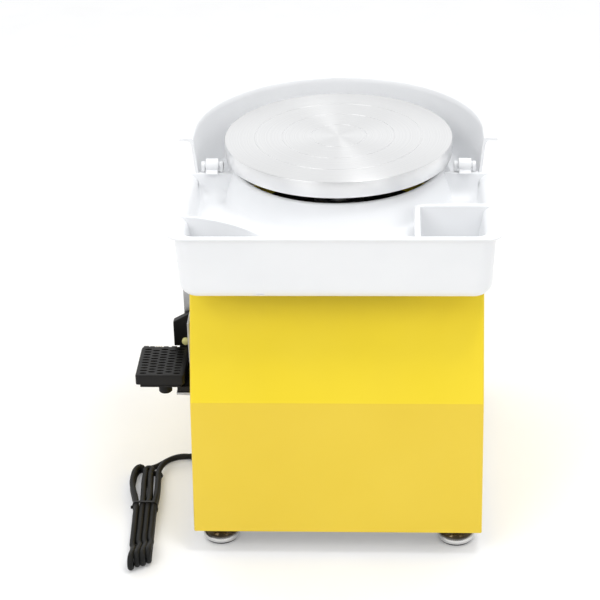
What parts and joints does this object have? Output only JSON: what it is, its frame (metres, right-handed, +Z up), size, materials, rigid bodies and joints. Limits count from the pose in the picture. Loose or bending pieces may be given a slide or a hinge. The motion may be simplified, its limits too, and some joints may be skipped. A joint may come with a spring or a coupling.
{
  "type": "electric pottery wheel",
  "caption": "Electric pottery wheel with a round metal head in a two-part splash basin, a tall folded housing, a side pedal for speed and a bundled mains cord.",
  "frame": {"origin": "middle of the machine's footprint on the floor, the cord left out", "axes": "+X to the right seen from the front, +Y away from the potter towards the guard, +Z up"},
  "size_m": [0.4169, 0.4928, 0.411],
  "materials": {
    "yellow_paint": "semi-gloss powder coat",
    "white_plastic": "smooth moulded",
    "brushed_aluminium": "turned, circular brushing",
    "steel": "bright zinc",
    "galvanised": "dull zinc",
    "cast_iron": "as cast",
    "black_plastic": "fine grain",
    "black_rubber": "matt",
    "motor_paint": "satin",
    "circuit_green": "solder mask",
    "pale_knob": "smooth moulded"
  },
  "bodies": {
    "machine": {"housing_shell": "yellow_paint", "rear_panel": "yellow_paint", "base_plate": "steel", "support_frame": "steel", "upper_bearing": "steel", "lower_bearing": "steel", "pedal_pin": "steel", "pedal_spring": "steel", "foot_front_left": "steel", "foot_front_right": "steel", "foot_rear_left": "steel", "foot_rear_right": "steel", "rear_screw_1": "steel", "rear_screw_2": "steel", "rear_screw_3": "steel", "rear_screw_4": "steel", "drive_belt": "black_rubber", "pedal_rubber_foot": "black_rubber", "strain_relief": "black_rubber", "cord_lead": "black_rubber", "cord_hank": "black_rubber", "cord_tail": "black_rubber", "foot_pad_front_left": "black_rubber", "foot_pad_front_right": "black_rubber", "foot_pad_rear_left": "black_rubber", "foot_pad_rear_right": "black_rubber", "bearing_housing": "cast_iron", "motor_bracket": "galvanised", "controller_case": "galvanised", "pedal_bracket": "galvanised", "motor_body": "motor_paint", "circuit_board": "circuit_green", "pedal_base": "black_plastic", "speed_sensor": "black_plastic", "pedal_control_box": "black_plastic", "power_switch_body": "black_plastic", "direction_switch_body": "black_plastic", "cord_tie": "black_plastic", "cord_plug": "black_plastic"},
    "wheel": {"wheel_head": "brushed_aluminium", "head_hub": "brushed_aluminium", "spindle": "steel", "spindle_pulley": "cast_iron"},
    "motor_rotor": {"motor_shaft": "steel", "motor_pulley": "steel"},
    "front_tray": {"front_basin": "white_plastic", "left_clip": "white_plastic", "right_clip": "white_plastic"},
    "rear_guard": {"rear_basin": "white_plastic", "left_clip_rod": "white_plastic", "right_clip_rod": "white_plastic"},
    "treadle": {"pedal_treadle": "black_plastic"},
    "power_switch_rocker": {"power_rocker": "black_plastic"},
    "direction_switch_rocker": {"direction_rocker": "black_plastic"},
    "knob": {"clamp_knob": "pale_knob"}
  },
  "joints": [
    {"name": "wheel_spin", "type": "hinge", "parent": "machine", "child": "wheel", "pos_m": [0.02275, 0.022, 0.395], "axis": [0, 0, 1], "continuous": true},
    {"name": "motor_spin", "type": "hinge", "parent": "machine", "child": "motor_rotor", "pos_m": [0.02275, 0.127, 0.15], "axis": [0, 0, 1], "continuous": true},
    {"name": "front_tray_slide", "type": "slide", "parent": "machine", "child": "front_tray", "axis": [0, -1, 0], "range_m": [0, 0.2]},
    {"name": "rear_guard_slide", "type": "slide", "parent": "machine", "child": "rear_guard", "axis": [0, 1, 0], "range_m": [0, 0.25]},
    {"name": "treadle_press", "type": "hinge", "parent": "machine", "child": "treadle", "pos_m": [-0.16925, -0.064, 0.181], "axis": [1, 0, 0], "range_deg": [0, 6], "stiffness_Nm_per_rad": 0.3, "springref_deg": -17.19},
    {"name": "power_rock", "type": "hinge", "parent": "machine", "child": "power_switch_rocker", "pos_m": [-0.13225, 0.062, 0.236], "axis": [0, 1, 0], "range_deg": [0, 16]},
    {"name": "direction_rock", "type": "hinge", "parent": "machine", "child": "direction_switch_rocker", "pos_m": [-0.13225, 0.114, 0.236], "axis": [0, 1, 0], "range_deg": [-8, 8]},
    {"name": "knob_turn", "type": "hinge", "parent": "machine", "child": "knob", "pos_m": [-0.14695, -0.073, 0.1972], "axis": [0, 1, 0], "range_deg": [-90, 90]}
  ],
  "couplings": [
    {"joint": "motor_spin", "follows": "wheel_spin", "ratio": 3.3333}
  ]
}
